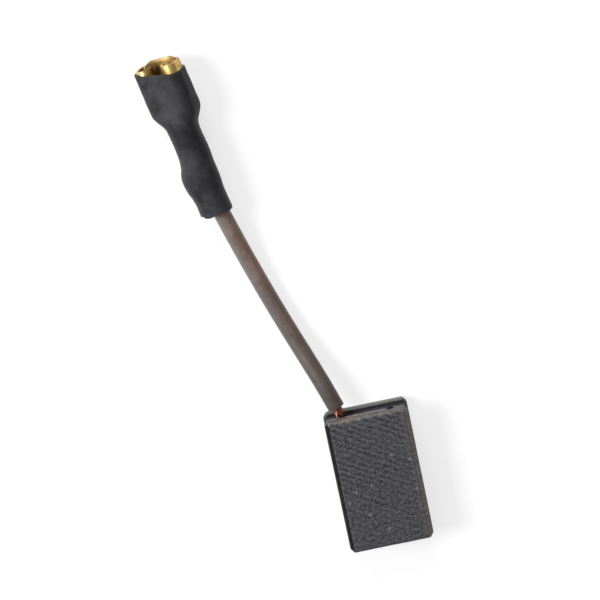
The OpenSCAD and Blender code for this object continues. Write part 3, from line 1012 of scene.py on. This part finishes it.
def make_brass():
    material, tree, shader = new_material("rolled_brass")
    place = millimetres(tree)
    film = mottle(tree, place, coarse=0.5, fine=1.6, share=0.35)
    draw = scratches(tree, millimetres(tree, turn=(0, 0, DRAWING_ANGLE)),
                     spacing=0.15, length=2.5)
    tone = mix(tree, remap(tree, film, 0.35, 0.65), BRIGHT_BRASS, DULL_BRASS)
    # painted shade inside, and brown patches along the right edge and on the left roll's rim
    for centre, inner, outer, share, dark_tone in BRASS_SHADE_AND_BROWN:
        tone = coat(tree, tone, dark_tone, ball_mask(tree, place, centre, inner, outer), share)
    feed(tree, shader, Base_Color=tone, Metallic=1.0,
         Roughness=remap(tree, film, 0.3, 0.7, 0.36, 0.48),
         Normal=bump(tree, draw, distance_mm=0.004, strength=0.3))
    return material


def make_sleeve():
    material, tree, shader = new_material("shrunk_sleeve")
    place = millimetres(tree)
    cloud = mottle(tree, place, coarse=0.3, fine=1.1, share=0.35)
    dust_and_shade = mottle(tree, place, coarse=4.0, fine=11.0, share=0.5)
    tone = mix(tree, remap(tree, cloud, 0.34, 0.66), *SLEEVE)
    tone = coat(tree, tone, SLEEVE_DUST, remap(tree, dust_and_shade, 0.56, 0.75), 0.22)
    # painted shade, darker and darker towards the right flank
    across = separate(tree, millimetres(tree, turn=(0, 0, -TURN)))[0]
    axis_x = MOUTH_AT[0] * math.cos(TURN) + MOUTH_AT[1] * math.sin(TURN)
    right_shade = remap(tree, across, axis_x - 1.0, axis_x + 2.0, 0.0, 0.55)
    tone = coat(tree, tone, SLEEVE_SHADE, right_shade)
    feed(tree, shader, Base_Color=tone, Specular_IOR_Level=0.22,
         Roughness=remap(tree, cloud, 0.3, 0.7, 0.42, 0.56),
         Normal=bump(tree, dust_and_shade, distance_mm=0.02, strength=0.3))
    return material


# ---------------------------------------------------------------- floor, lamps, world

def seen_by(tree, *rays):
    """1 for light on its way to the camera along these kinds of ray, 0 for other light."""
    path = add(tree, "ShaderNodeLightPath")
    return math_node(tree, "MAXIMUM", *(path.outputs[f"Is {ray} Ray"] for ray in rays))


def mix_shader(tree, factor, first, second):
    node = add(tree, "ShaderNodeMixShader")
    for socket, value in zip(node.inputs, (factor, first, second)):
        give(tree, socket, value)
    return node.outputs[0]


def make_floor():
    """White paper that shows soft shadows, and throws back less light than it shows."""
    nothing_selected()
    bpy.ops.mesh.primitive_plane_add(size=6, location=(0, 0, 0))
    floor = named("floor")
    material, tree, shader = new_material("white_table")
    tree.nodes.remove(shader)
    paper = feed(tree, add(tree, "ShaderNodeBsdfDiffuse"), Color=PAPER)
    glow = feed(tree, add(tree, "ShaderNodeEmission"), Color=WHITE, Strength=1.0)
    dull = feed(tree, add(tree, "ShaderNodeBsdfDiffuse"), Color=DULL_PAPER)
    shown = mix_shader(tree, 0.68, paper.outputs[0], glow.outputs[0])
    chosen = mix_shader(tree, seen_by(tree, "Camera", "Glossy", "Transmission"),
                        dull.outputs[0], shown)
    feed(tree, tree.nodes["Material Output"], Surface=chosen)
    floor.data.materials.append(material)


def softbox(name, place, aim, size, power):
    nothing_selected()
    bpy.ops.object.light_add(type="AREA", location=place)
    lamp = bpy.context.object
    lamp.name = name
    lamp.rotation_euler = (Vector(aim) - Vector(place)).to_track_quat("-Z", "Y").to_euler()
    lamp.data.shape = "DISK"
    lamp.data.size = size
    lamp.data.energy = power


def light_scene():
    middle = (-0.005, 0.022, 0)
    softbox("key", (-0.95, 0.35, 0.85), middle, size=0.6, power=19)
    softbox("back", (-0.1, 1.1, 0.6), middle, size=0.7, power=9)
    world = bpy.data.worlds.new("studio")
    bpy.context.scene.world = world
    world.use_nodes = True
    tree = world.node_tree
    tree.nodes.clear()
    light = feed(tree, add(tree, "ShaderNodeBackground"), Color=WHITE, Strength=0.34)
    white = feed(tree, add(tree, "ShaderNodeBackground"), Color=WHITE, Strength=1.0)
    chosen = mix_shader(tree, seen_by(tree, "Camera", "Transmission"),
                        light.outputs[0], white.outputs[0])
    feed(tree, add(tree, "ShaderNodeOutputWorld"), Surface=chosen)


# ---------------------------------------------------------------- the scene

make_camera()
MOTTLE = make_mottle_group()
SCRATCHES = make_scratch_group()

lead_line = smooth_line(LEAD_ROUTE, steps=8)
insulation = make_insulation(lead_line)
strands = make_strands(lead_line)
dress(insulation, make_jacket(), "lead_insulation")
dress(strands, make_copper(), "copper_shunt")

block = make_block()
dress(block, make_carbon(), "carbon_block")
plug = make_plug()
dress(plug, make_tamped(), "tamped_plug")
receptacle = make_receptacle()
dress(receptacle, make_brass(), "receptacle_terminal")
boot = make_boot()
dress(boot, make_sleeve(), "heat_shrink_boot")

make_floor()
light_scene()
bpy.context.scene.view_settings.view_transform = "Standard"
